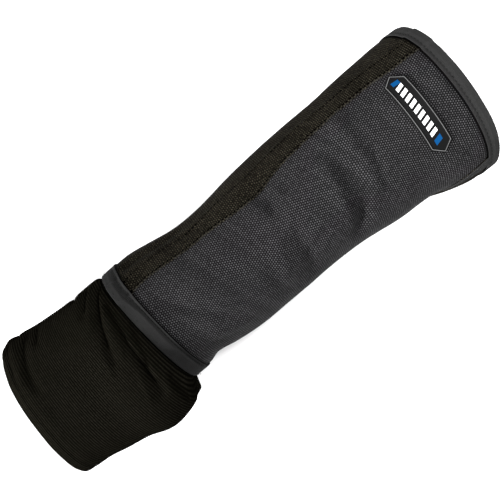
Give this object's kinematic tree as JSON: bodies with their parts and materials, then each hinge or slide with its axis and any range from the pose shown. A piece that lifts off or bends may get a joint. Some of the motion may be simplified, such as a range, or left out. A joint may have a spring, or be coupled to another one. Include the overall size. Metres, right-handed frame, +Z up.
{
  "type": "cut resistant sleeve",
  "caption": "Work arm sleeve lying on its side: woven two-panel shell with a lapped seam, tape-bound mouth and wrist edges, wide ribbed knit cuff and a six-sided rubber patch.",
  "frame": {"origin": "middle of the sleeve's box, on the surface that it lies on", "axes": "+X along the sleeve from the wrist to the mouth, +Z up from the surface, the lapped seam on the +Y side"},
  "size_m": [0.4838, 0.161, 0.1132],
  "materials": {
    "front_cloth": "matt grey woven cloth with small raised dots",
    "back_cloth": "matt, rough, dark brownish cloth",
    "tape": "matt charcoal twill tape",
    "knit": "matt warm black fine rib knit",
    "rubber": "satin black rubber"
  },
  "bodies": {
    "root": {"front_panel": "front_cloth", "back_panel": "back_cloth", "mouth_binding": "tape", "wrist_binding": "tape", "binding_tail": "tape", "knit_cuff": "knit", "label": "rubber"}
  },
  "joints": []
}
